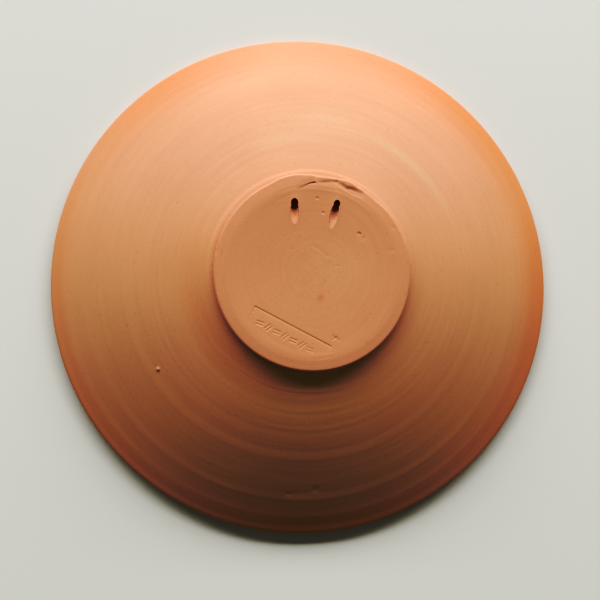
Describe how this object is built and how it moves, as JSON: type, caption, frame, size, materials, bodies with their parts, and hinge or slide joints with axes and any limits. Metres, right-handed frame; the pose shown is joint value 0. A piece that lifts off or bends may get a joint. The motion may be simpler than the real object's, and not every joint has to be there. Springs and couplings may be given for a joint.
{
  "type": "terracotta wall plate",
  "caption": "Shallow round unglazed terracotta plate with a solid turned foot, pierced with two slanting hanging holes, lying face down.",
  "frame": {"origin": "middle of the circle that the plate's lip rests on, on the surface under the plate as it lies face down", "axes": "+Z is the wheel's axis, up through the foot; +Y points from the middle of the foot to the hanging holes, which is up when the plate hangs; +X completes the frame"},
  "size_m": [0.27, 0.27, 0.0445],
  "materials": {
    "terracotta": "matt unglazed fired clay"
  },
  "bodies": {
    "root": {"plate": "terracotta"}
  },
  "joints": []
}
